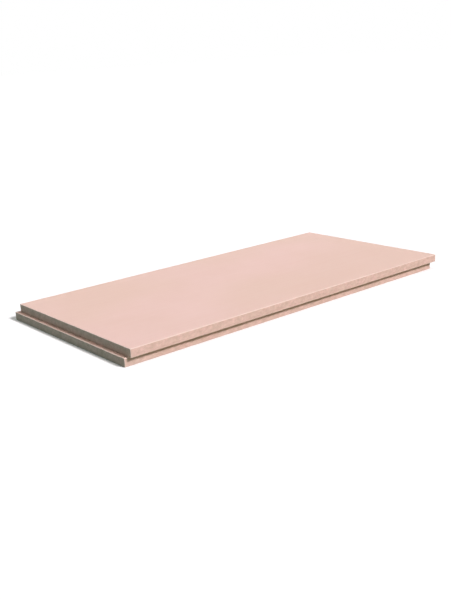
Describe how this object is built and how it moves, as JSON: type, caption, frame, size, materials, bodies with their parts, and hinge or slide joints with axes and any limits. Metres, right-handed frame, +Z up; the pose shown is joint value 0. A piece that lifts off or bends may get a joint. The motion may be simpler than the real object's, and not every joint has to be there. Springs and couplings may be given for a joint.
{
  "type": "polystyrene foam board",
  "caption": "Flat rectangular insulation board of extruded polystyrene foam, with half-thickness lap joints milled along all its edges so that laid boards interlock.",
  "frame": {"origin": "middle of the board's outer box, on the surface it lies on", "axes": "+X along the board's length towards the end where the upper half overhangs, +Y across it towards the side where the lower half sticks out, +Z up through the thickness"},
  "size_m": [1.2626, 0.6126, 0.05],
  "materials": {
    "extruded_foam": "matt pale salmon foam with a smooth extruded skin on both broad faces and milled closed cells on the edges"
  },
  "bodies": {
    "root": {"foam_board": "extruded_foam"}
  },
  "joints": []
}
